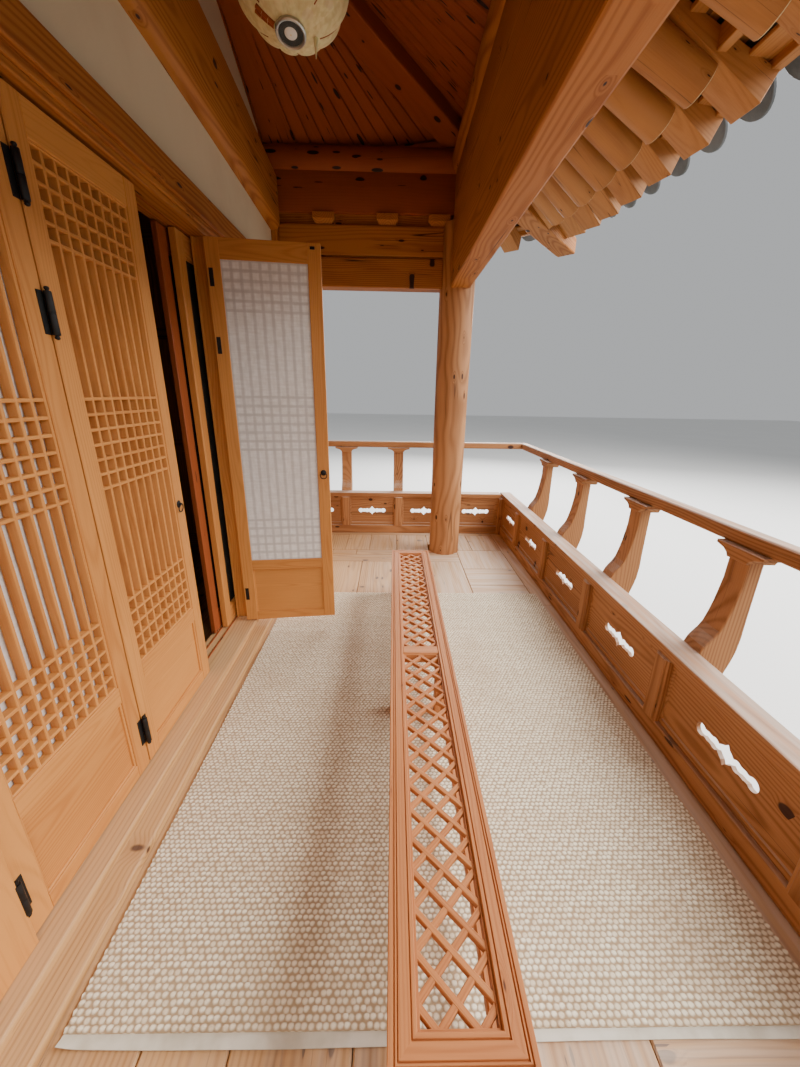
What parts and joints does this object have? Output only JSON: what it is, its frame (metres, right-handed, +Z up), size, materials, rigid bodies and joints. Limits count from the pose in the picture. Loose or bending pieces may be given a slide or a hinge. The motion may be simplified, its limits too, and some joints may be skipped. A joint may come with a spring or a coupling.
{
  "type": "hanok house",
  "caption": "Small timber house on a stone base with a railed wooden veranda, lattice doors and a tiled hip-and-gable roof with upturned corners.",
  "frame": {"origin": "on the ground, at the middle of the house's plan", "axes": "+Z up, veranda facing -Y, ridge along X"},
  "size_m": [6.8944, 6.3562, 5.697],
  "materials": {
    "pine": "oiled pine, satin",
    "dark_pine": "stained pine, satin",
    "floor_pine": "worn pine planks",
    "weathered_pine": "weathered pine",
    "paper": "matt mulberry paper",
    "plaster": "matt lime plaster",
    "granite": "rough dressed granite",
    "roof_tile": "matt grey fired clay",
    "glass": "clear glass",
    "jute": "woven jute",
    "lantern": "translucent cloth",
    "iron": "black forged iron"
  },
  "bodies": {
    "house": {"room_base": "granite", "room_floor": "floor_pine", "stone_front_left": "granite", "stone_front_right": "granite", "veranda_frame": "pine", "veranda_floor": "floor_pine", "column_front_left": "pine", "column_front_right": "pine", "column_wall_left": "pine", "column_wall_right": "pine", "column_back_left": "pine", "column_back_right": "pine", "front_wall_left": "plaster", "front_wall_right": "plaster", "upper_wall": "plaster", "attic_wall": "plaster", "wall_left": "plaster", "wall_right": "plaster", "wall_back": "plaster", "window_back": "pine", "door_sill": "pine", "door_lintel": "pine", "jamb_left": "pine", "jamb_right": "pine", "wall_beam": "pine", "fold_leaf_a": "pine", "fold_paper_a": "paper", "fold_leaf_b": "pine", "fold_paper_b": "paper", "beam_front": "dark_pine", "beam_left": "dark_pine", "beam_right": "dark_pine", "purlin_front": "dark_pine", "purlin_back": "dark_pine", "purlin_left": "dark_pine", "purlin_right": "dark_pine", "hip_rafter_front_left": "dark_pine", "hip_rafter_front_right": "dark_pine", "hip_rafter_back_left": "dark_pine", "hip_rafter_back_right": "dark_pine", "rafter_roof": "dark_pine", "roof_tiles": "roof_tile", "ridge_main": "roof_tile", "ridge_front_left": "roof_tile", "ridge_front_right": "roof_tile", "ridge_back_left": "roof_tile", "ridge_back_right": "roof_tile", "gable_left": "pine", "gable_right": "pine", "railing_front": "weathered_pine", "railing_left": "weathered_pine", "railing_right": "weathered_pine", "rug": "jute", "bench": "pine", "lamp": "lantern"},
    "swing_door": {"swing_leaf": "pine", "swing_paper": "paper"},
    "sliding_door": {"inner_door": "pine", "inner_glass": "glass"}
  },
  "joints": [
    {"name": "door_hinge", "type": "hinge", "parent": "house", "child": "swing_door", "pos_m": [0.82, -0.541, 0], "axis": [0, 0, 1], "range_deg": [-97, 70]},
    {"name": "inner_slide", "type": "slide", "parent": "house", "child": "sliding_door", "axis": [-1, 0, 0], "range_m": [0, 1.45]}
  ]
}
